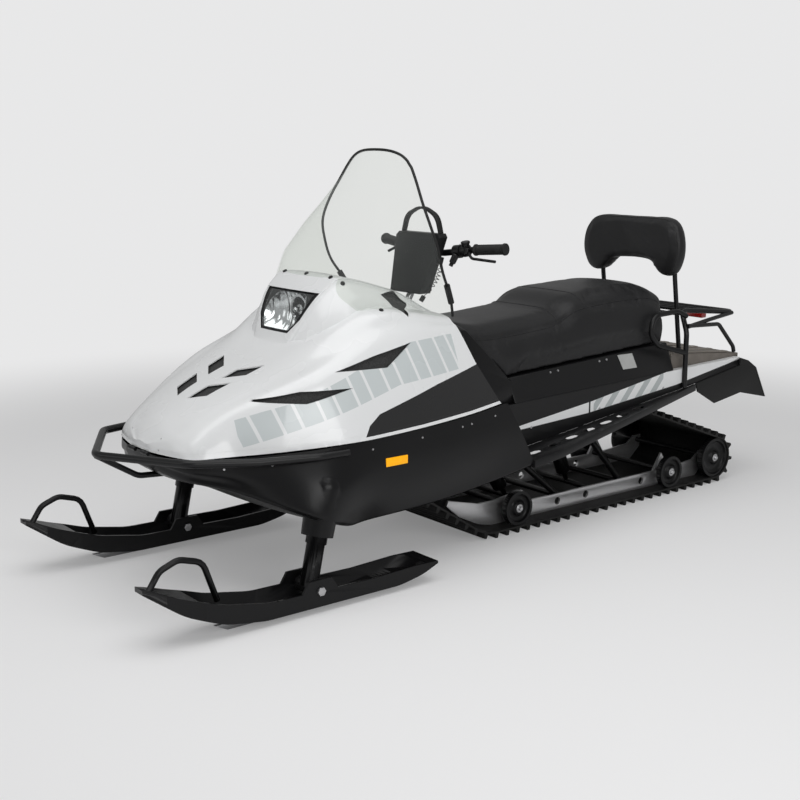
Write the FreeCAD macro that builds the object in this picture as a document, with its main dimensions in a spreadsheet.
import FreeCAD, Part
import math
import os
from FreeCAD import Placement, Rotation, Vector

# Utility snowmobile with a wide track, in millimetres: +Z up, front towards -Y, left side +X.
# The origin is on the ground, under the middle of the machine.

doc = FreeCAD.newDocument("snowmobile")

# Driving dimensions
DIMENSIONS = [
    # skis and steered legs
    ("ski_stance_half", 400), ("ski_pivot_front", 925), ("ski_pivot_height", 68),
    ("ski_width", 126), ("ski_wall", 8), ("ski_floor", 10), ("ski_sole_height", 20),
    ("ski_tip_reach", 546), ("ski_tail_reach", 445), ("ski_tip_rise", 180), ("ski_wall_height", 68),
    ("wear_bar_width", 12), ("wear_bar_length", 560), ("ski_bolt_radius", 8), ("ski_handle_radius", 9),
    ("leg_radius", 27.5), ("leg_sleeve_radius", 32), ("leg_sleeve_start", 128), ("leg_length", 280),
    ("leg_eye_radius", 25), ("leg_eye_width", 78), ("leg_housing_radius", 36), ("leg_housing_length", 125),
    ("leg_rake_slope", 0.22), ("running_gap", 0.05), ("bulge_low_radius", 48), ("bulge_top_radius", 54),
    # body shells
    ("shell_wall", 4), ("belly_wall", 5), ("hood_gap", 7), ("hood_notch_half", 140),
    ("screen_wall", 3.5), ("screen_top_height", 1334), ("screen_top_half", 95), ("seat_gap", 0.3),
    ("hinge_pin_radius", 4), ("hinge_half", 46),
    # tunnel, running boards and seat
    ("tunnel_half", 262), ("tunnel_wall", 3), ("tunnel_front", 470), ("tunnel_rear", 1262),
    ("board_outer_half", 398), ("board_rear", 985), ("board_depth", 26), ("board_wall", 3),
    ("seat_half", 226), ("seat_rear", 868), ("deck_half", 236), ("deck_rear", 1285),
    ("flap_wall", 6), ("flap_tip", 1438),
    # track and its running gear
    ("track_width", 500), ("belt_thickness", 6), ("lug_height", 18), ("lug_pitch", 50.8),
    ("sprocket_radius", 85), ("sprocket_front", 335), ("sprocket_height", 287),
    ("idler_radius", 79), ("idler_rear", 1160), ("road_wheel_radius", 62), ("road_wheel_front", 76),
    ("road_wheel_middle", 893), ("carrier_radius", 55), ("carrier_rear", 500), ("carrier_height", 372),
    ("wheel_width", 26), ("wheel_plane_half", 232), ("axle_radius", 10),
    ("rail_spacing_half", 175), ("rail_thickness", 9), ("rail_depth", 58),
    # rack, backrest and bumper
    ("rack_tube_radius", 8), ("rack_half", 212), ("rack_rear", 1278), ("rack_height", 684),
    ("backrest_half", 258), ("backrest_thickness", 70), ("backrest_place", 921),
    ("bumper_radius", 12), ("bumper_reach", 1398), ("hitch_bore_radius", 8), ("hitch_thickness", 12),
    # steering
    ("bar_radius", 11), ("bar_half", 321), ("grip_radius", 16), ("grip_length", 120),
    ("column_radius", 12), ("column_lean", 30), ("column_length", 590),
]
sheet = doc.addObject("Spreadsheet::Sheet", "Dimensions")
for row, (alias, value) in enumerate(DIMENSIONS, start=1):
    sheet.set("A%d" % row, alias)
    sheet.set("B%d" % row, str(value))
    sheet.setAlias("B%d" % row, alias)
doc.recompute()


def size(alias):
    return float(sheet.get(alias))


nodes = []


def keep(obj, label):
    """Names a finished sub-part and puts it on the list that is written out."""
    obj.Label = label
    nodes.append(obj)
    return obj


def feature(label, shape):
    obj = doc.addObject("Part::Feature", label)
    obj.Shape = shape
    return keep(obj, label)


def polygon_wire(corners):
    return Part.makePolygon(list(corners) + [corners[0]])


def extrude_x(outline, low, high):
    """Prism of a side outline, given as (y, z) corners, between two values of x."""
    wire = polygon_wire([Vector(low, y, z) for y, z in outline])
    return Part.Face(wire).extrude(Vector(high - low, 0, 0))


def extrude_z(outline, low, high):
    """Prism of a plan outline, given as (x, y) corners, between two heights."""
    wire = polygon_wire([Vector(x, y, low) for x, y in outline])
    return Part.Face(wire).extrude(Vector(0, 0, high - low))


def extrude_y(outline, low, high):
    """Prism of a front outline, given as (x, z) corners, between two values of y."""
    wire = polygon_wire([Vector(x, low, z) for x, z in outline])
    return Part.Face(wire).extrude(Vector(0, high - low, 0))


def rod(start, end, radius):
    run = end - start
    return Part.makeCylinder(radius, run.Length, start, run)


def bent_path(route, bend):
    """Straight runs joined by tangent arcs of one bend radius, less where a run is short."""
    edges = []
    last = route[0]
    for before, corner, after in zip(route, route[1:], route[2:]):
        a = (before - corner).normalize()
        b = (after - corner).normalize()
        turn = math.pi - a.getAngle(b)
        room = 0.45 * min((before - corner).Length, (after - corner).Length)
        radius = min(bend, room / math.tan(turn / 2))
        reach = radius * math.tan(turn / 2)
        start = corner + a * reach
        end = corner + b * reach
        middle = corner + (a + b).normalize() * (radius / math.cos(turn / 2) - radius)
        edges.append(Part.makeLine(last, start))
        edges.append(Part.Arc(start, middle, end).toShape())
        last = end
    edges.append(Part.makeLine(last, route[-1]))
    return edges


def loft(wires):
    return Part.makeLoft(wires, True, True)


def ring(place, axis, radius):
    return Part.Wire(Part.makeCircle(radius, place, axis))


def tube(route, radius, bend=40):
    """Round bar along a bent path, with a ring at the ends of each run and two more in each bend."""
    edges = bent_path(route, bend)
    rings = [ring(route[0], route[1] - route[0], radius)]
    for edge in edges:
        first, last = edge.FirstParameter, edge.LastParameter
        shares = (1,) if edge.Curve.TypeId == "Part::GeomLine" else (1 / 3, 2 / 3, 1)
        for share in shares:
            at = first + share * (last - first)
            rings.append(ring(edge.valueAt(at), edge.tangentAt(at), radius))
    return loft(rings)


def mirrored(shape):
    return shape.mirror(Vector(0, 0, 0), Vector(1, 0, 0))


def both_sides(shape):
    return [shape, mirrored(shape)]


def joined(shapes):
    result = shapes[0].fuse(list(shapes[1:])) if len(shapes) > 1 else shapes[0]
    return result.removeSplitter()


def side_body(label, outline, depth_alias, start, holes=()):
    """Plate with a side outline of (y, z) corners, padded along +X from start."""
    body = doc.addObject("PartDesign::Body", label)
    sketch = body.newObject("Sketcher::SketchObject", label + "_outline")
    origin = [f for f in body.Origin.OriginFeatures if f.Role == "YZ_Plane"][0]
    sketch.AttachmentSupport = [(origin, "")]
    sketch.MapMode = "FlatFace"
    sketch.AttachmentOffset = Placement(Vector(0, 0, start), Rotation())
    for a, b in zip(outline, outline[1:] + outline[:1]):
        sketch.addGeometry(Part.LineSegment(Vector(a[0], a[1], 0), Vector(b[0], b[1], 0)), False)
    for y, z, radius in holes:
        sketch.addGeometry(Part.Circle(Vector(y, z, 0), Vector(0, 0, 1), radius), False)
    doc.recompute()
    pad = body.newObject("PartDesign::Pad", label + "_pad")
    pad.Profile = sketch
    pad.setExpression("Length", "Dimensions." + depth_alias)
    doc.recompute()
    return body


def turned_body(label, section, centre):
    """Wheel turned about the X axis from a section of (x, radius) corners, centred at a point."""
    body = doc.addObject("PartDesign::Body", label)
    sketch = body.newObject("Sketcher::SketchObject", label + "_section")
    origin = [f for f in body.Origin.OriginFeatures if f.Role == "XY_Plane"][0]
    sketch.AttachmentSupport = [(origin, "")]
    sketch.MapMode = "FlatFace"
    for a, b in zip(section, section[1:] + section[:1]):
        sketch.addGeometry(Part.LineSegment(Vector(a[0], a[1], 0), Vector(b[0], b[1], 0)), False)
    doc.recompute()
    turn = body.newObject("PartDesign::Revolution", label + "_turn")
    turn.Profile = sketch
    turn.ReferenceAxis = (sketch, ["H_Axis"])
    turn.Angle = 360
    body.Placement = Placement(centre, Rotation())
    doc.recompute()
    return body


def along(guide, y):
    """Value of a guide line at y: its (y, ...) points are joined by a smooth cubic."""
    last = len(guide) - 1
    index = 0
    while index < last - 1 and y > guide[index + 1][0]:
        index += 1
    a, b = guide[index], guide[index + 1]
    before = guide[max(index - 1, 0)]
    after = guide[min(index + 2, last)]
    run = b[0] - a[0]
    t = (y - a[0]) / run
    values = []
    for k in range(1, len(a)):
        slope_a = (b[k] - before[k]) / (b[0] - before[0]) * run
        slope_b = (after[k] - a[k]) / (after[0] - a[0]) * run
        values.append((2 * t ** 3 - 3 * t ** 2 + 1) * a[k] + (t ** 3 - 2 * t ** 2 + t) * slope_a
                      + (3 * t ** 2 - 2 * t ** 3) * b[k] + (t ** 3 - t ** 2) * slope_b)
    return values


def arched(points, foot):
    """Closed section through half of its points, up to the middle one, their mirror and the foot's corners."""
    other = [Vector(-p.x, p.y, p.z) for p in reversed(points[:-1])]
    return polygon_wire(points + other + foot)


# Hood: guide lines of (y, x, z) from nose to rear, on the left side
LIP = [(-1252, 60, 457), (-1240, 118, 457), (-1220, 192, 457), (-1195, 232, 457), (-1150, 252, 458),
       (-1080, 280, 460), (-1010, 322, 465), (-940, 357, 470), (-860, 389, 475), (-780, 411, 479),
       (-700, 419, 481), (-500, 420, 491), (-300, 411, 505), (-150, 400, 522)]
CREASE = [(-1252, 50, 472), (-1240, 98, 480), (-1220, 162, 489), (-1195, 196, 502), (-1150, 213, 532),
          (-1080, 236, 574), (-1010, 272, 606), (-940, 304, 636), (-860, 330, 668), (-780, 338, 694),
          (-700, 342, 714), (-500, 338, 754), (-300, 318, 757), (-150, 300, 750)]
SHOULDER = [(-1252, 25, 478), (-1220, 96, 509), (-1195, 118, 527), (-1150, 132, 560), (-1080, 145, 600),
            (-1010, 156, 633), (-860, 174, 697), (-780, 206, 745), (-700, 240, 795), (-620, 258, 835),
            (-550, 266, 842), (-500, 268, 838), (-400, 268, 822), (-300, 262, 805), (-150, 250, 790)]
CENTRE = [(-1252, 482), (-1220, 517), (-1195, 541), (-1150, 571), (-1080, 609), (-1010, 639),
          (-860, 700), (-780, 748), (-700, 800), (-620, 845), (-500, 868), (-400, 858), (-300, 818),
          (-150, 798)]
HOOD_STATIONS = [-1252, -1226, -1195, -1150, -1060, -960, -860, -740, -620, -480, -300, -150]
# Lamp pod and windscreen base: (y, half width of the top, height of the top, half width and height of the foot)
POD = [(-800, 92, 742, 150, 700), (-757, 129, 811, 188, 710), (-712, 154, 884, 225, 740),
       (-672, 164, 924, 243, 772), (-630, 168, 944, 250, 792), (-440, 158, 890, 250, 800),
       (-330, 172, 838, 250, 790), (-230, 200, 785, 245, 740)]
HOOD_BASE = 440
POD_BASE = 690


def hood_section(y, inset):
    lip_x, lip_z = along(LIP, y)
    crease_x, crease_z = along(CREASE, y)
    shoulder_x, shoulder_z = along(SHOULDER, y)
    centre_z = along(CENTRE, y)[0]
    lip = Vector(lip_x - inset, y, lip_z)
    side = Vector(0.45 * lip_x + 0.55 * crease_x + 6 - inset, y, 0.45 * lip_z + 0.55 * crease_z - 0.2 * inset)
    crease = Vector(crease_x - 0.8 * inset, y, crease_z - 0.8 * inset)
    shoulder = Vector(shoulder_x, y, shoulder_z - inset)
    flank = (crease + shoulder) * 0.5 + Vector(3, 0, 4)
    top = Vector(0, y, centre_z - inset)
    crown = Vector(0.5 * shoulder_x, y, 0.25 * shoulder_z + 0.75 * centre_z - inset)
    foot = [Vector(-lip.x, y, HOOD_BASE), Vector(lip.x, y, HOOD_BASE)]
    return arched([lip, side, crease, flank, shoulder, crown, top], foot)


def pod_section(place, inset):
    y, top_half, top, foot_half, foot = place
    low = Vector(foot_half - inset, y, foot - inset)
    side = Vector((top_half + foot_half) / 2 + 6 - inset, y, (top + foot) / 2)
    edge = Vector(top_half - 0.8 * inset, y, top - 26 - 0.6 * inset)
    corner = Vector(top_half - 6 - 0.8 * inset, y, top - 12 - 0.8 * inset)
    brow = Vector(top_half - 22 - 0.6 * inset, y, top - 5 - inset)
    base = [Vector(-low.x, y, POD_BASE), Vector(low.x, y, POD_BASE)]
    return arched([low, side, edge, corner, brow, Vector(0, y, top - inset)], base)


def hood_solid(inset):
    """Hood and lamp pod drawn in by a wall, or let out by a negative one."""
    stations = [HOOD_STATIONS[0] + inset] + HOOD_STATIONS[1:]
    main = loft([hood_section(y, inset) for y in stations])
    pod = loft([pod_section((place[0] + inset,) + place[1:], inset) for place in POD])
    return main.fuse(pod)


wall = size("shell_wall")
hood_outer = hood_solid(0)
hood_inner = hood_solid(wall)

# Lower lip plane of the hood follows the lip line; rear edge leans forward as it rises
lip_line = [(y, along(LIP, y)[1]) for y in HOOD_STATIONS]
under_lip = extrude_x([(-1400, 300), (0, 300), (0, 524)] + [(y, z) for y, z in reversed(lip_line)]
                      + [(-1400, lip_line[0][1])], -600, 600)
rear_cut = extrude_x([(-163, 430), (-163, 516), (-240, 660), (-292, 812), (-330, 1000), (200, 1000), (200, 430)],
                     -600, 600)
notch_half = size("hood_notch_half")
notch = extrude_z([(-notch_half, 0), (-notch_half, -400), (-notch_half + 40, -470), (notch_half - 40, -470),
                   (notch_half, -400), (notch_half, 0)], 600, 1000)
lamp_outline = [(-78, 768), (78, 768), (116, 812), (146, 893), (-146, 893), (-116, 812)]
lamp_cut = extrude_y(lamp_outline, -900, -655)


NOSE_VENTS = [[(29, -1107), (35, -1036), (106, -996), (92, -1074)],
              [(40, -993), (40, -937), (122, -887), (114, -950)]]
SIDE_VENTS = [[(-1035, 611), (-885, 600), (-735, 634), (-900, 636)],
              [(-785, 683), (-600, 680), (-492, 745), (-640, 718)]]
openings = [notch, lamp_cut]
for corners in NOSE_VENTS:
    openings += both_sides(extrude_z(corners, 560, 720))
for corners in SIDE_VENTS:
    openings += both_sides(extrude_x(corners, 250, 460))
hood = hood_outer.cut(hood_inner).cut([under_lip, rear_cut] + openings)
hood = max(hood.Solids, key=lambda solid: solid.Volume)
feature("hood", hood)

# Headlamp: a housing behind the opening and a clear lens flush with the pod
lamp_back = extrude_y([(-84, 762), (84, 762), (124, 808), (152, 900), (-152, 900), (-124, 808)], -900, -650)
lamp_house = lamp_back.common(hood_inner)
lamp_bowl = Part.makeCone(58, 112, 100, Vector(0, -702, 828), Vector(0, -1, 0))
lamp_house = lamp_house.cut(lamp_bowl)
lamp_house = max(lamp_house.Solids, key=lambda solid: solid.Volume)
feature("headlamp", lamp_house)
lens_outline = [(-60, 778), (60, 778), (88, 815), (100, 884), (-100, 884), (-88, 815)]
lens = hood_outer.cut(hood_inner).common(extrude_y(lens_outline, -900, -655))
feature("headlamp_lens", max(lens.Solids, key=lambda solid: solid.Volume))

# Windscreen: (height, half width, front y, rear y) of its level sections
top_z = size("screen_top_height")
top_half = size("screen_top_half")
SCREEN = [(760, 282, -735, -262), (860, 268, -705, -262), (950, 246, -647, -280), (1100, 211, -545, -314),
          (1220, 175, -454, -338), (1295, 142, -402, -349), (top_z, top_half, -372, -352)]


def screen_section(place, inset):
    z, half, front, rear = place
    half -= inset
    front += inset
    depth = rear - front
    points = [Vector(half * x, front + y * depth, z)
              for x, y in ((0.985, 1), (1, 0.65), (0.98, 0.4), (0.9, 0.2), (0.72, 0.08), (0.4, 0.02), (0, 0))]
    return arched(points, [])


screen_outer = loft([screen_section(place, 0) for place in SCREEN])
screen_inner = loft([screen_section((place[0], place[1], place[2], place[3] + 40), size("screen_wall"))
                     for place in SCREEN])
screen = screen_outer.cut(screen_inner)
skin = hood_solid(-0.3)
screen = screen.cut(skin)
screen = max(screen.Solids, key=lambda solid: solid.BoundBox.ZMax)
feature("windscreen", screen)

# Belly pan: open-topped shell under the hood: (y, half width at the top, chine x, chine z, keel z)
BELLY = [(-1248, 76, 56, 432, 428), (-1222, 176, 134, 410, 400), (-1190, 226, 178, 392, 378),
         (-1090, 270, 225, 362, 342), (-960, 344, 285, 312, 288), (-860, 384, 325, 252, 226),
         (-740, 400, 338, 214, 186), (-400, 406, 341, 216, 174), (-120, 396, 362, 256, 205),
         (10, 392, 375, 284, 230)]
belly_gap = size("hood_gap")


def belly_section(place, inset, lift):
    y, half, chine_x, chine_z, keel = place
    top = along(LIP, min(max(y, HOOD_STATIONS[0]), HOOD_STATIONS[-1]))[1] - belly_gap
    rim = Vector(half - inset, y, top)
    side = Vector(half + 4 - inset, y, 0.5 * (top + chine_z))
    soft = min(20, 0.35 * (top - chine_z))
    chine = Vector(chine_x + 0.8 * soft - inset, y, chine_z + soft)
    corner = Vector(chine_x + 0.4 * soft - 0.7 * inset, y, chine_z + 0.25 * soft + 0.7 * inset)
    bilge = Vector(chine_x - 0.5 * soft, y, chine_z - 2 + inset)
    floor = Vector(0.5 * chine_x, y, keel + 0.22 * (chine_z - keel) + inset)
    lifted = [Vector(-rim.x, y, top + lift), Vector(rim.x, y, top + lift)] if lift else []
    return arched([rim, side, chine, corner, bilge, floor, Vector(0, y, keel + inset)], lifted)


belly_wall = size("belly_wall")
belly_outer = loft([belly_section(place, 0, 0) for place in BELLY])
belly_inner = loft([belly_section((place[0] + (belly_wall if place[0] < -1200 else 0),) + place[1:],
                                  belly_wall, 60) for place in BELLY])
tunnel_half = size("tunnel_half")
seat_gap = size("seat_gap")
belly_rear = extrude_x([(-158, 560), (-2, 300), (-2, 100), (300, 100), (300, 560)], -600, 600)
track_slot = Part.makeBox(2 * (tunnel_half + seat_gap), 700, 500,
                          Vector(-tunnel_half - seat_gap, -size("tunnel_front") - seat_gap, 50))

# Kingpin axes of the two legs, which lean back as they rise
pivot_y = -size("ski_pivot_front")
pivot_z = size("ski_pivot_height")
stance = size("ski_stance_half")
kingpin = Vector(0, size("leg_rake_slope"), 1).normalize()
left_pivot = Vector(stance, pivot_y, pivot_z)


def on_kingpin(distance):
    return left_pivot + kingpin * distance


# Moulded bulge of the belly pan over each leg: a tapered tube with a domed top
def bulge(inset):
    start = on_kingpin(150)
    top = Vector(stance - 12, on_kingpin(320).y, 380)
    axis = (top - start).normalize()
    top_radius = size("bulge_top_radius") - inset
    rings = [ring(start, axis, size("bulge_low_radius") - inset)]
    for angle in (0, 30, 55):
        rise = math.radians(angle)
        rings.append(ring(top + axis * (top_radius * math.sin(rise)), axis, top_radius * math.cos(rise)))
    return loft(rings)


leg_hole = rod(on_kingpin(80), on_kingpin(200), size("leg_sleeve_radius") + 8)
belly_full = belly_outer.fuse(both_sides(bulge(0)))
belly = belly_full.cut([belly_inner] + both_sides(bulge(belly_wall)))
belly = belly.cut([belly_rear, track_slot] + both_sides(leg_hole))
belly = max(belly.Solids, key=lambda solid: solid.Volume)
feature("belly_pan", belly)

# Hood hinge: a pin on two ears in front of the belly's top edge, and two tabs of the hood round it
pin_radius = size("hinge_pin_radius")
hinge_half = size("hinge_half")
hinge_y = HOOD_STATIONS[0] - 8
hinge_z = lip_line[0][1] - 5


def hinge_ear(low, high, rise, hole):
    """Small plate across the X axis, from the nose to the hinge line."""
    plate = extrude_x([(hinge_y, hinge_z - 6), (hinge_y + 14, hinge_z - 6 + rise), (hinge_y + 14, hinge_z + 6 + rise),
                       (hinge_y, hinge_z + 6)], low, high)
    knuckle = Part.makeCylinder(7, high - low, Vector(low, hinge_y, hinge_z), Vector(1, 0, 0))
    return joined([plate, knuckle]).cut(Part.makeCylinder(hole, 200, Vector(-100, hinge_y, hinge_z), Vector(1, 0, 0)))


pin = Part.makeCylinder(pin_radius, 2 * hinge_half, Vector(-hinge_half, hinge_y, hinge_z), Vector(1, 0, 0))
base_ears = [hinge_ear(low, low + 10, -9, 0.9 * pin_radius) for low in (-hinge_half + 1, hinge_half - 11)]
feature("hood_hinge", joined([pin] + base_ears).cut(belly_full))
tabs = [hinge_ear(low, low + 9, 14, pin_radius + size("running_gap")) for low in (-hinge_half + 12, hinge_half - 21)]
feature("hood_tabs", Part.makeCompound([tab.cut(hood_outer) for tab in tabs]))

# Front frame: cross beam between the leg housings, two rails to the tunnel and a bulkhead on its front edge
housing_end = on_kingpin(size("leg_length") + 20)
housing_start = housing_end - kingpin * size("leg_housing_length")
housing = rod(housing_start, housing_end, size("leg_housing_radius"))
housing_bore = rod(on_kingpin(60), on_kingpin(size("leg_length") + 60),
                   size("leg_sleeve_radius") + size("running_gap"))
beam_y = housing_end.y - 5
beam_low = housing_end.z - 26
beam_height = 36
tunnel_front = -size("tunnel_front")
tunnel_wall = size("tunnel_wall")
beam = Part.makeBox(2 * stance, 40, beam_height, Vector(-stance, beam_y - 20, beam_low))
frame_rail = Part.makeBox(30, tunnel_front - 5 - beam_y, beam_height, Vector(120, beam_y, beam_low))
bulkhead = Part.makeBox(2 * tunnel_half - 4, 5, 190, Vector(-tunnel_half + 2, tunnel_front - 5, 262))
front_frame = joined([beam, housing, mirrored(housing), frame_rail, mirrored(frame_rail), bulkhead])
front_frame = front_frame.cut(both_sides(housing_bore))
feature("front_frame", front_frame)

engine_size = Vector(380, 300, 270)
engine = doc.addObject("Part::Box", "engine")
engine.Length, engine.Width, engine.Height = engine_size
engine.Placement = Placement(Vector(-190, beam_y - 20, beam_low + beam_height + seat_gap), Rotation())
keep(engine, "engine")

# Legs: lower tube with an eye for the ski bolt, and the sleeve that turns in the frame's housing
for side, word in ((1, "left"), (-1, "right")):
    lower = rod(left_pivot, on_kingpin(size("leg_sleeve_start") + 20), size("leg_radius"))
    sleeve = rod(on_kingpin(size("leg_sleeve_start")), on_kingpin(size("leg_length")), size("leg_sleeve_radius"))
    eye_half = size("leg_eye_width") / 2
    eye = Part.makeCylinder(size("leg_eye_radius"), 2 * eye_half, left_pivot - Vector(eye_half, 0, 0),
                            Vector(1, 0, 0))
    eye_bore = Part.makeCylinder(size("ski_bolt_radius") + size("running_gap"), 300,
                                 left_pivot - Vector(150, 0, 0), Vector(1, 0, 0))
    leg = joined([lower, sleeve, eye]).cut(eye_bore)
    feature("leg_" + word, leg if side == 1 else mirrored(leg))

# Skis: a moulded channel with an upturned tip, its loop handle, wear bar and pivot bolt
tip_y = pivot_y - size("ski_tip_reach")
tail_y = pivot_y + size("ski_tail_reach")
sole = size("ski_sole_height")
floor = sole + size("ski_floor")
tip_z = size("ski_tip_rise")
wall_z = size("ski_wall_height")


def ski_prism(bottom, top, half):
    """Solid between two side lines, each of straight runs with wide bends, across the ski's width."""
    low = [Vector(0, y, z) for y, z in bottom]
    high = [Vector(0, y, z) for y, z in top]
    edges = bent_path(low, 260) + [Part.makeLine(low[-1], high[-1])]
    edges += bent_path(high, 260) + [Part.makeLine(low[0], high[0])]
    face = Part.Face(Part.Wire(Part.sortEdges(edges)[0]))
    solid = face.extrude(Vector(2 * half, 0, 0))
    solid.translate(Vector(stance - half, 0, 0))
    return solid


ski_half = size("ski_width") / 2
bottom_line = [(tip_y, tip_z - 14), (tip_y + 110, 88), (tip_y + 230, 40), (tip_y + 360, sole),
               (tail_y - 150, sole), (tail_y - 60, sole + 16), (tail_y, sole + 40)]
top_line = [(tip_y, tip_z), (tip_y + 100, 142), (tip_y + 230, 98), (tip_y + 380, wall_z + 2),
            (pivot_y, wall_z), (tail_y - 250, wall_z - 4), (tail_y - 90, wall_z + 2), (tail_y, sole + 48)]
floor_line = [(tip_y + 150, 95), (tip_y + 260, 52), (tip_y + 370, floor), (tail_y - 160, floor),
              (tail_y - 40, sole + 40)]
high_line = [(tip_y + 150, 260), (tail_y - 40, 260)]
ski_solid = ski_prism(bottom_line, top_line, ski_half)
saddle = extrude_x([(pivot_y - 75, wall_z - 20), (pivot_y - 40, pivot_z + 34), (pivot_y + 40, pivot_z + 34),
                    (pivot_y + 75, wall_z - 20)], stance - ski_half, stance + ski_half)
channel = ski_prism(floor_line, high_line, ski_half - size("ski_wall"))
nose_plan = [(stance - ski_half - 5, tail_y + 10), (stance - ski_half - 5, tip_y + 200),
             (stance - 0.72 * ski_half, tip_y + 60), (stance - 0.35 * ski_half, tip_y - 1),
             (stance + 0.35 * ski_half, tip_y - 1), (stance + 0.72 * ski_half, tip_y + 60),
             (stance + ski_half + 5, tip_y + 200), (stance + ski_half + 5, tail_y + 10)]
ski = ski_solid.fuse(saddle).cut(channel).common(extrude_z(nose_plan, -10, 400))
bolt_bore = Part.makeCylinder(size("ski_bolt_radius") + size("running_gap"), 300,
                              left_pivot - Vector(150, 0, 0), Vector(1, 0, 0))
ski = ski.cut(bolt_bore)
handle = tube([Vector(stance, tip_y + 26, 160), Vector(stance, tip_y + 62, 214), Vector(stance, tip_y + 120, 236),
               Vector(stance, tip_y + 195, 214), Vector(stance, tip_y + 238, 92)],
              size("ski_handle_radius"), 45)
ski = joined([ski, handle])
bar_y = pivot_y - 40
bar_half = size("wear_bar_length") / 2
wear_half = size("wear_bar_width") / 2
wear_outline = [(bar_y - bar_half, sole), (bar_y - bar_half + 40, 0), (bar_y + bar_half - 40, 0),
                (bar_y + bar_half, sole)]
wear_bar = extrude_x(wear_outline, stance - wear_half, stance + wear_half).cut(ski)
bolt = Part.makeCylinder(size("ski_bolt_radius"), 2 * ski_half + 16, left_pivot - Vector(ski_half + 8, 0, 0),
                         Vector(1, 0, 0))
head_corners = [(pivot_y + 14 * math.cos(math.radians(60 * k)), pivot_z + 14 * math.sin(math.radians(60 * k)))
                for k in range(6)]
heads = [extrude_x(head_corners, low, low + 8) for low in (stance + ski_half, stance - ski_half - 8)]
bolt = joined([bolt] + heads)
for side, word in ((1, "left"), (-1, "right")):
    for label, shape in (("ski_", ski), ("wear_bar_", wear_bar), ("ski_bolt_", bolt)):
        feature(label + word, shape if side == 1 else mirrored(shape))

# Front bumper: one bent tube round the nose with a keel strut
reach = -size("bumper_reach")
bumper_r = size("bumper_radius")
bumper_route = [Vector(406, -780, 452), Vector(396, -880, 450), Vector(350, -1060, 452), Vector(275, -1242, 460),
                Vector(0, reach, 458), Vector(-275, -1242, 460), Vector(-350, -1060, 452),
                Vector(-396, -880, 450), Vector(-406, -780, 452)]
bumper = tube(bumper_route, bumper_r, 60)
strut = tube([Vector(0, reach + 4, 456), Vector(0, -1262, 374), Vector(0, -1150, 366)], 9, 60)
bumper = joined([bumper, strut]).cut(belly_full)
bumper = max(bumper.Solids, key=lambda solid: solid.Volume)
feature("bumper", bumper)

# Tunnel: folded sheet over the track
rear = size("tunnel_rear")


def tunnel_top(y):
    return 470 + 0.03 * y


def board_line(y):
    return 302 + 0.13 * y


tunnel_side = [(tunnel_front, tunnel_top(tunnel_front)), (tunnel_front, 262), (-230, 262), (0, board_line(0)),
               (970, board_line(970)), (rear, 474), (rear, tunnel_top(rear))]
tunnel_outer = extrude_x(tunnel_side, -tunnel_half, tunnel_half)
tunnel_inner = extrude_x([(tunnel_front - 10, tunnel_top(tunnel_front - 10) - tunnel_wall), (tunnel_front - 10, 100),
                          (rear + 10, 100), (rear + 10, tunnel_top(rear + 10) - tunnel_wall)],
                         -tunnel_half + tunnel_wall, tunnel_half - tunnel_wall)
feature("tunnel", tunnel_outer.cut(tunnel_inner))

# Running boards: folded trays that taper towards the rear, with oval drain holes
board_outer = size("board_outer_half")
board_rear = size("board_rear")
board_depth = size("board_depth")
board_wall = size("board_wall")


def board_tray(inset):
    plan = [(tunnel_half + (0 if inset == 0 else -1), -2 + inset), (board_outer - inset, -2 + inset),
            (board_outer - inset, 130), (tunnel_half + 10 - inset, board_rear - inset),
            (tunnel_half + (0 if inset == 0 else -1), board_rear - inset)]
    top = [(y, board_line(y) - inset) for y in (-50, 1100)]
    low = [(y, board_line(y) - board_depth - 2 * inset) for y in (1100, -50)]
    return extrude_z(plan, 100, 600).common(extrude_x(top + low, 0, 600))


board = board_tray(0).cut(board_tray(board_wall))
hole_half = 13
for step in range(7):
    hole_y = 60 + 95 * step
    hole_x = tunnel_half + 0.5 * (board_outer - tunnel_half) * (1 - max(hole_y - 130, 0) / (board_rear - 130))
    oval = [(hole_x + 0.5 * a * hole_half, hole_y + b * hole_half)
            for a, b in ((1, -2), (2, -1), (2, 1), (1, 2), (-1, 2), (-2, 1), (-2, -1), (-1, -2))]
    board = board.cut(extrude_z(oval, 250, 550))
feature("running_boards", Part.makeCompound(both_sides(board)))

# Seat base and seat
seat_half = size("seat_half")
seat_rear = size("seat_rear")


def seat_floor(y):
    return 553 + 0.055 * y


def base_section(y):
    return polygon_wire([Vector(-tunnel_half, y, tunnel_top(y)), Vector(tunnel_half, y, tunnel_top(y)),
                         Vector(seat_half - 6, y, seat_floor(y)), Vector(-seat_half + 6, y, seat_floor(y))])


seat_base = Part.makeLoft([base_section(30), base_section(seat_rear - 8)], True, True)
feature("seat_base", seat_base)
SEAT_TOP = [(-230, 760), (-160, 757), (-30, 745), (230, 761), (300, 775), (380, 811), (500, 823), (640, 829),
            (770, 826), (840, 800)]
SEAT_STATIONS = [-230, -30, 200, 290, 340, 400, 520, 770, 840]


def seat_section(y, top, grow=0):
    low = seat_floor(y) + seat_gap
    half = seat_half + grow
    rim = Vector(half - 4, y, low)
    side = Vector(half, y, 0.6 * low + 0.4 * (top - 40))
    shoulder = Vector(half - 16, y, top - 46)
    corner = Vector(half - 34, y, top - 20)
    crown = Vector(half - 78, y, top - 6)
    return arched([rim, side, shoulder, corner, crown, Vector(0, y, top)], [])


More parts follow.
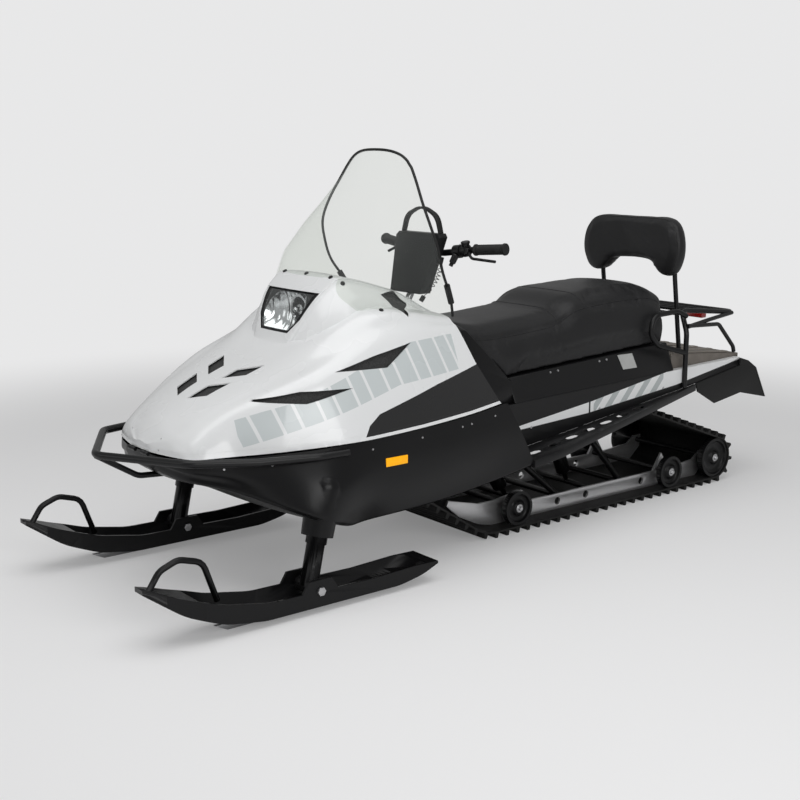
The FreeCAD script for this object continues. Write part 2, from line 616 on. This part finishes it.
seat = loft([seat_section(y, along(SEAT_TOP, y)[0]) for y in SEAT_STATIONS]
            + [seat_section(seat_rear - 8, 776, -12), seat_section(seat_rear, 745, -34)])
seat_front = extrude_x([(-400, 500), (12, 500), (12, 560), (-205, 770), (-205, 1000), (-400, 1000)], -400, 400)
seat = seat.cut(seat_front)
feature("seat", seat)

# Console between hood and seat
CONSOLE = [(-455, 105, 760), (-400, 118, 792), (-300, 128, 790), (-262, 232, 762), (-150, 240, 752), (30, 240, 745)]
console_sections = []
for y, half, top in CONSOLE:
    base_half = 246 if y > -280 else half + 6
    console_sections.append(polygon_wire([Vector(-base_half, y, tunnel_top(y)), Vector(base_half, y, tunnel_top(y)),
                                          Vector(base_half, y, 620), Vector(half, y, top - 14),
                                          Vector(half - 20, y, top), Vector(-half + 20, y, top),
                                          Vector(-half, y, top - 14), Vector(-base_half, y, 620)]))
console = Part.makeLoft(console_sections, True, True)
console_cut = extrude_x([(29.7, 400), (29.7, 552), (11.7, 553.4), (11.7, 560), (-205.4, 769.6), (-205.4, 900), (300, 900),
                         (300, 400)], -400, 400)
lean = math.radians(size("column_lean"))
column_axis = Vector(0, math.sin(lean), math.cos(lean))
bar_centre = Vector(0, -142, 985)
column_foot = bar_centre - column_axis * size("column_length")
column_bearing = rod(column_foot - column_axis * seat_gap, column_foot + column_axis * 80,
                     size("column_radius") + size("running_gap"))
column_hole = rod(column_foot + column_axis * 60, bar_centre, size("column_radius") + 10)
console = console.cut([console_cut, column_bearing, column_hole])
console = max(console.Solids, key=lambda solid: solid.Volume)
feature("console", console)

# Rear deck and snow flap
deck_half = size("deck_half")
deck_rear = size("deck_rear")
deck_side = [(seat_rear + 4, tunnel_top(seat_rear + 4)), (seat_rear + 4, 556), (deck_rear, 520), (deck_rear, 504),
             (rear, tunnel_top(rear))]
deck = extrude_x(deck_side, -deck_half, deck_half)
groove = [Part.makeBox(30, deck_rear - seat_rear - 90, 100, Vector(-deck_half + 24 + step * 46, seat_rear + 50, 500))
          for step in range(10)]
deck_top = extrude_x([(seat_rear + 40, 550), (seat_rear + 40, 600), (deck_rear - 40, 600),
                      (deck_rear - 40, 519.5)], -deck_half, deck_half)
deck = deck.cut([g.common(deck_top) for g in groove])
feature("deck", deck)
flap_wall = size("flap_wall")
flap_tip = size("flap_tip")
flap_curve = [(rear + seat_gap, 505), (1312, 490), (1366, 456), (flap_tip, 326)]
flap_inner = [(flap_tip - 6, 326), (1361, 450), (1309, 483), (rear + seat_gap, 498)]
flap_sheet = extrude_x(flap_curve + flap_inner, -tunnel_half - 8, tunnel_half + 8)
wing_outline = [(1002, 397), (1109, 338), (1272, 362), (flap_tip - 6, 326), (1363, 452),
                (1311, 484), (rear + seat_gap, 498), (rear + seat_gap, 474), (990, 431)]
wing = extrude_x(wing_outline, tunnel_half + seat_gap, tunnel_half + seat_gap + flap_wall)
tongue_top = 504
tongue_low = tongue_top - size("hitch_thickness")
tongue_slot = Part.makeBox(61, 200, 100, Vector(-30.5, rear - 50, tongue_low - 0.5))
flap = joined([flap_sheet, wing, mirrored(wing)]).cut(tongue_slot)
feature("snow_flap", flap)

# Tow hitch: tongue with a pin hole, under the deck's rear end
hitch_y = deck_rear + 35
tongue = extrude_z([(-30, rear + seat_gap), (30, rear + seat_gap), (30, hitch_y), (14, hitch_y + 24),
                    (-14, hitch_y + 24), (-30, hitch_y)], tongue_low, tongue_top)
hitch_bore = Part.makeCylinder(size("hitch_bore_radius"), 40, Vector(0, hitch_y, tongue_low - 10), Vector(0, 0, 1))
feature("tow_hitch", tongue.cut(hitch_bore))

# Rack of bent tube over the deck
rack_r = size("rack_tube_radius")
rack_half = size("rack_half")
rack_rear = size("rack_rear")
rack_z = size("rack_height")
post_x = tunnel_half + rack_r + seat_gap
rack_front = 950
rack_rise = 32


def rack_level(y):
    return rack_z + rack_rise * (rack_rear - y) / (rack_rear - rack_front)


hoop = tube([Vector(post_x, 915, 424), Vector(post_x, 915, 640), Vector(rack_half, rack_front, rack_level(rack_front)),
             Vector(rack_half, rack_rear, rack_z), Vector(-rack_half, rack_rear, rack_z),
             Vector(-rack_half, rack_front, rack_level(rack_front)), Vector(-post_x, 915, 640),
             Vector(-post_x, 915, 424)], rack_r, 45)
cross_bars = [rod(Vector(-rack_half, y, rack_level(y)), Vector(rack_half, y, rack_level(y)), rack_r - 2)
              for y in (975, 1075, 1175)]
rear_leg = rod(Vector(rack_half - 1, 1165, rack_level(1165)), Vector(rack_half - 14, deck_rear - 12, 526.5), rack_r - 1)
grab = tube([Vector(rack_half + 10, 940, rack_level(rack_front) - 10), Vector(245, 860, 668), Vector(245, 765, 655),
             Vector(245, 768, 606), Vector(post_x, 915, 560)], 7, 18)
rack = joined([hoop, grab, mirrored(grab)] + cross_bars + [rear_leg, mirrored(rear_leg)])
feature("rack", rack)

# Backrest
backrest_y = size("backrest_place")
post = rod(Vector(186, backrest_y + 15, 540), Vector(186, backrest_y, 1000), 9)
brace = rod(Vector(-186, backrest_y + 8, 790), Vector(186, backrest_y + 8, 790), 7)
feature("backrest_frame", joined([post, mirrored(post), brace]).cut(deck))
backrest_half = size("backrest_half")
pad_outline = [(0, 848), (150, 849), (212, 856), (246, 890), (backrest_half, 953), (246, 1022), (224, 1058), (180, 1077),
               (90, 1084), (0, 1085)]
thick = size("backrest_thickness")
pad_middle = 965


def pad_ring(y, shrink):
    """Closed outline of the backrest pad at y, drawn in by shrink."""
    points = []
    for x, z in pad_outline + [(-x, z) for x, z in reversed(pad_outline[1:-1])]:
        arm = Vector(x, 0, z - pad_middle)
        arm = arm * ((arm.Length - shrink) / arm.Length)
        points.append(Vector(arm.x, y, arm.z + pad_middle))
    return polygon_wire(points)


backrest = loft([pad_ring(backrest_y + share * thick / 2, shrink)
                 for share, shrink in ((-1, 22), (-0.7, 5), (0, 0), (0.7, 5), (1, 22))])
post_hole = rod(Vector(186, backrest_y + 15, 545), Vector(186, backrest_y, 1000.3), 9.3)
backrest = backrest.cut(both_sides(post_hole))
feature("backrest_pad", backrest)

# Tail lamp under the rack's rear bar
lamp = Part.makeBox(110, 30, 34, Vector(-55, rack_rear + rack_r + 0.3 - 12, rack_z - rack_r - 34.3))
feature("tail_lamp", lamp)

# Side reflectors on the belly pan
reflector = Part.makeBox(18, 84, 27, Vector(395, -645, 385))
reflector = reflector.cut(belly_full)
reflector = max(reflector.Solids, key=lambda solid: solid.Volume)
feature("side_reflectors", Part.makeCompound(both_sides(reflector)))

# Track loop round its wheels: (y, z, inner radius) of each guide circle, in order along the belt
belt = size("belt_thickness")
lug = size("lug_height")
ground = belt + lug
ROLLERS = [(-size("sprocket_front"), size("sprocket_height"), size("sprocket_radius")),
           (-40, ground + 150, 150),
           (size("idler_rear"), ground + size("idler_radius"), size("idler_radius")),
           (size("carrier_rear"), size("carrier_height"), size("carrier_radius"))]


def loop_path(grow):
    """Closed outline of straight runs and arcs round the guide circles, grow outside the wheels."""
    tangents = []
    count = len(ROLLERS)
    for k in range(count):
        (ya, za, ra), (yb, zb, rb) = ROLLERS[k], ROLLERS[(k + 1) % count]
        ra, rb = ra + grow, rb + grow
        run = math.hypot(yb - ya, zb - za)
        heading = math.atan2(zb - za, yb - ya)
        turn = math.asin((rb - ra) / run)
        normal = heading - math.pi / 2 - turn
        out = (math.cos(normal), math.sin(normal))
        tangents.append((Vector(0, ya + ra * out[0], za + ra * out[1]), Vector(0, yb + rb * out[0], zb + rb * out[1]),
                         normal))
    edges = []
    for k in range(count):
        start, end, normal = tangents[k]
        after, _, next_normal = tangents[(k + 1) % count]
        yc, zc, rc = ROLLERS[(k + 1) % count]
        sweep = (next_normal - normal) % (2 * math.pi)
        middle = normal + sweep / 2
        edges.append(Part.makeLine(start, end))
        bulge = Vector(0, yc + (rc + grow) * math.cos(middle), zc + (rc + grow) * math.sin(middle))
        edges.append(Part.Arc(end, bulge, after).toShape())
    return Part.Wire(edges)


track_half = size("track_width") / 2


def band(grow_low, grow_high, half):
    outer = Part.Face(loop_path(grow_high)).extrude(Vector(2 * half, 0, 0))
    inner = Part.Face(loop_path(grow_low)).extrude(Vector(2 * half, 0, 0))
    ring = outer.cut(inner)
    ring.translate(Vector(-half, 0, 0))
    return ring


belt_solid = band(0, belt, track_half)
middle_line = loop_path(belt)
count = int(round(middle_line.Length / size("lug_pitch")))
lugs = []
steps = middle_line.discretize(Number=count + 1)[:-1]
for index, place in enumerate(steps):
    ahead = steps[(index + 1) % count]
    behind = steps[index - 1]
    direction = (ahead - behind).normalize()
    outward = Vector(0, direction.z, -direction.y)
    lug_face = [place - direction * 9 - outward * 1.5, place + direction * 9 - outward * 1.5,
                place + direction * 5 + outward * lug, place - direction * 5 + outward * lug]
    face = Part.Face(polygon_wire(lug_face))
    bar = face.extrude(Vector(2 * track_half, 0, 0))
    bar.translate(Vector(-track_half, 0, 0))
    lugs.append(bar)
track = belt_solid.fuse(lugs)
feature("track", track)

# Slide rails with an upturned front
rail_x = size("rail_spacing_half")
rail_t = size("rail_thickness")
rail_low = ground
rail_high = ground + size("rail_depth")
rail_outline = [(-206, 128), (-150, 80), (-60, rail_low + 14), (0, rail_low), (1120, rail_low), (1178, 72),
                (1184, 122), (1140, 122), (1100, 92), (950, rail_high), (905, 150), (860, rail_high),
                (180, rail_high), (150, 126), (20, 112), (-60, 112), (-198, 146)]
axle_hole = size("axle_radius") + size("running_gap")
rail_holes = [(place, rail_low + 30, 14) for place in (330, 480, 790)]
rail_holes += [(size(place), ground + size(radius), axle_hole)
               for place, radius in (("road_wheel_front", "road_wheel_radius"),
                                     ("road_wheel_middle", "road_wheel_radius"), ("idler_rear", "idler_radius"))]
for side, word in ((1, "left"), (-1, "right")):
    start = rail_x - rail_t / 2 if side == 1 else -rail_x - rail_t / 2
    keep(side_body("slide_rail_" + word, rail_outline, "rail_thickness", start, rail_holes),
         "slide_rail_" + word)

# Wheels of the slide suspension, each pair on its own axle
wheel_x = size("wheel_plane_half")
wheel_w = size("wheel_width")
axle_r = size("axle_radius")


def wheel_pair(label, y, radius):
    """Axle with a wheel at each end; each wheel is dished on its outer side round a raised hub."""
    z = ground + radius
    shapes = [rod(Vector(-wheel_x, y, z), Vector(wheel_x, y, z), axle_r)]
    for side in (1, -1):
        section = [(-side * wheel_w / 2, 0), (side * wheel_w / 2, 0), (side * wheel_w / 2, 20), (0, 30),
                   (0, radius - 16), (side * wheel_w / 2, radius - 11), (side * wheel_w / 2, radius),
                   (-side * wheel_w / 2, radius)]
        word = "_left" if side > 0 else "_right"
        shapes.append(turned_body(label + word, section, Vector(side * wheel_x, y, z)).Shape)
    return joined(shapes)


wheels = [wheel_pair("wheel_" + word, size("road_wheel_" + word), size("road_wheel_radius"))
          for word in ("front", "middle")]
wheels.append(wheel_pair("idler", size("idler_rear"), size("idler_radius")))
feature("track_wheels", Part.makeCompound(wheels))

# Drive axle with its sprockets and the upper carrier rollers
drive_centre = Vector(0, -size("sprocket_front"), size("sprocket_height"))
inside_half = tunnel_half - tunnel_wall
sprockets = [rod(drive_centre - Vector(inside_half, 0, 0), drive_centre + Vector(inside_half, 0, 0), 15)]
for x in (-110, 110):
    sprockets.append(rod(drive_centre + Vector(x - 12, 0, 0), drive_centre + Vector(x + 12, 0, 0),
                         size("sprocket_radius") - 0.3))
feature("drive_axle", joined(sprockets))
carrier_centre = Vector(0, size("carrier_rear"), size("carrier_height"))
carriers = [rod(carrier_centre - Vector(inside_half, 0, 0), carrier_centre + Vector(inside_half, 0, 0), 9)]
for x in (-120, 120):
    carriers.append(rod(carrier_centre + Vector(x - 13, 0, 0), carrier_centre + Vector(x + 13, 0, 0),
                        size("carrier_radius") - 0.3))
feature("carrier_rollers", joined(carriers))

# Suspension arms between tunnel and rails, with two spring units
inner_x = rail_x - rail_t / 2


def swing_arm(top_y, top_z, foot_y, foot_z):
    top_cross = rod(Vector(-inside_half, top_y, top_z), Vector(inside_half, top_y, top_z), 11)
    foot_cross = rod(Vector(-inner_x, foot_y, foot_z), Vector(inner_x, foot_y, foot_z), 11)
    legs = [rod(Vector(x, top_y, top_z), Vector(x, foot_y, foot_z), 12) for x in (-inner_x + 20, inner_x - 20)]
    return joined([top_cross, foot_cross] + legs)


def rail_cross(y):
    return rod(Vector(-inner_x, y, rail_low + 30), Vector(inner_x, y, rail_low + 30), 11)


arms = [swing_arm(40, 326, 355, 66), swing_arm(425, 366, 700, 62), rail_cross(235), rail_cross(560)]
feature("suspension_arms", Part.makeCompound(arms))


def spring_unit(top, foot):
    run = foot - top
    unit = joined([rod(top, foot, 9), rod(top + run * 0.12, top + run * 0.85, 28)]).cut(arms)
    return max(unit.Solids, key=lambda solid: solid.Volume)


shocks = [spring_unit(Vector(0, 40, 326), Vector(0, 235, rail_low + 30)),
          spring_unit(Vector(0, 425, 366), Vector(0, 560, rail_low + 30))]
feature("shocks", Part.makeCompound(shocks))

# Steering: column, bar, grips, controls, pad and its strap
column = rod(column_foot, bar_centre, size("column_radius"))
feature("steering_column", column)
bar_r = size("bar_radius")
bar_half_length = size("bar_half")
bar_end = Vector(bar_half_length, -82, 1009)
bar = tube([bar_end, Vector(190, -112, 1000), Vector(80, -142, 985), Vector(-80, -142, 985),
            Vector(-190, -112, 1000), Vector(-bar_half_length, -82, 1009)], bar_r, 60)
feature("handlebar", bar.cut(column))
bar_run = (bar_end - Vector(190, -112, 1000)).normalize()
grip_start = bar_end - bar_run * size("grip_length")
grip = rod(grip_start, bar_end + bar_run * 3, size("grip_radius"))
grip = grip.cut(bar)
feature("grips", Part.makeCompound(both_sides(grip)))
block_centre = grip_start - bar_run * 25
block = rod(block_centre - bar_run * 20, block_centre + bar_run * 20, 24).cut(bar)
lever = tube([block_centre + Vector(0, -22, -8), block_centre + Vector(50, -50, -22), block_centre + Vector(150, -38, -26)],
             5, 20)
controls = joined([block, lever])
feature("controls", Part.makeCompound(both_sides(controls)))
pad_front = [(-80, 852), (80, 852), (116, 1040), (104, 1052), (-104, 1052), (-116, 1040)]
pad_block = extrude_y(pad_front, -275, -150)
pad_slab = extrude_x([(-252, 840), (-188, 1060), (-153, 1060), (-205, 840)], -200, 200)
pad = pad_block.common(pad_slab).cut([bar, rod(column_foot, bar_centre, size("column_radius") + 0.3)])
pad = max(pad.Solids, key=lambda solid: solid.Volume)
feature("handlebar_pad", pad)


def strap_edge(inset):
    """Arched outline of the strap over the pad, as straight runs joined by arcs, closed along its foot."""
    arch = bent_path([Vector(-102 + inset, -182, 1052.3), Vector(-84 + inset, -182, 1112 - inset),
                      Vector(0, -182, 1146 - inset), Vector(84 - inset, -182, 1112 - inset),
                      Vector(102 - inset, -182, 1052.3)], 90)
    foot = Part.makeLine(Vector(102 - inset, -182, 1052.3), Vector(-102 + inset, -182, 1052.3))
    return Part.Face(Part.Wire(arch + [foot])).extrude(Vector(0, 20, 0))


feature("pad_strap", strap_edge(0).cut(strap_edge(7)))

# Curly tether down the pad's left side between its two clips, as a plain tube
tether_route = [Vector(107.2, -182, 950), Vector(101, -187, 918), Vector(96, -212, 884), Vector(88.3, -236, 846)]
tether = tube(tether_route, 5, 60)
feature("tether_cord", tether)
top_run = (tether_route[0] - tether_route[1]).normalize()
foot_run = (tether_route[3] - tether_route[2]).normalize()
clips = [rod(tether_route[0], tether_route[0] + top_run * 25, 8), rod(tether_route[3], tether_route[3] + foot_run * 20, 8)]
feature("tether_clip", Part.makeCompound(clips))

doc.recompute()
for obj in doc.Objects:
    bad = [word for word in ("Invalid", "Error") if word in obj.State]
    if bad:
        raise RuntimeError("%s did not build: %s" % (obj.Label, obj.State))
os.makedirs("parts", exist_ok=True)
for obj in nodes:
    shape = obj.Shape
    if shape.isNull() or not shape.isValid() or not shape.Solids:
        raise RuntimeError("%s is not a valid solid" % obj.Label)
    shape.exportStep("parts/%s.step" % obj.Label)
print("%d sub-parts" % len(nodes))
